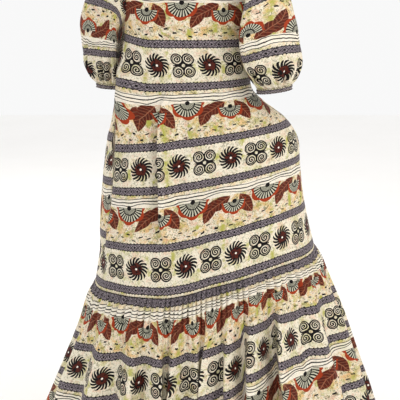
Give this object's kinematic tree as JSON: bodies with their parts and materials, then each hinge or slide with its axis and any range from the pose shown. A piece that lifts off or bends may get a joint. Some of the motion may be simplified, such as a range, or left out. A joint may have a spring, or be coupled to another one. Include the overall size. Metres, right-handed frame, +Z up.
{
  "type": "wax print dress",
  "caption": "Full-length wax print dress with gathered elbow sleeves, in-seam pockets and a deep gathered flounce, hollow as worn.",
  "frame": {"origin": "where the shoulders carry the dress: midway between the two neck points of its shoulder seams", "axes": "+Z up, +Y towards the wearer's front, +X towards the wearer's right"},
  "size_m": [1.0721, 0.9344, 1.5131],
  "materials": {
    "print_cotton": "printed plain-weave cotton, lightly glazed",
    "grey_cotton": "the grey band of the same cotton",
    "pocket_cotton": "matt cotton"
  },
  "bodies": {
    "root": {"back_panel": "print_cotton", "front_panel": "print_cotton", "neckband": "grey_cotton", "sleeve_left": "print_cotton", "sleeve_right": "print_cotton", "cuff_left": "grey_cotton", "cuff_right": "grey_cotton", "pocket_left": "pocket_cotton", "pocket_right": "pocket_cotton", "flounce_back": "print_cotton", "flounce_front": "print_cotton"}
  },
  "joints": []
}
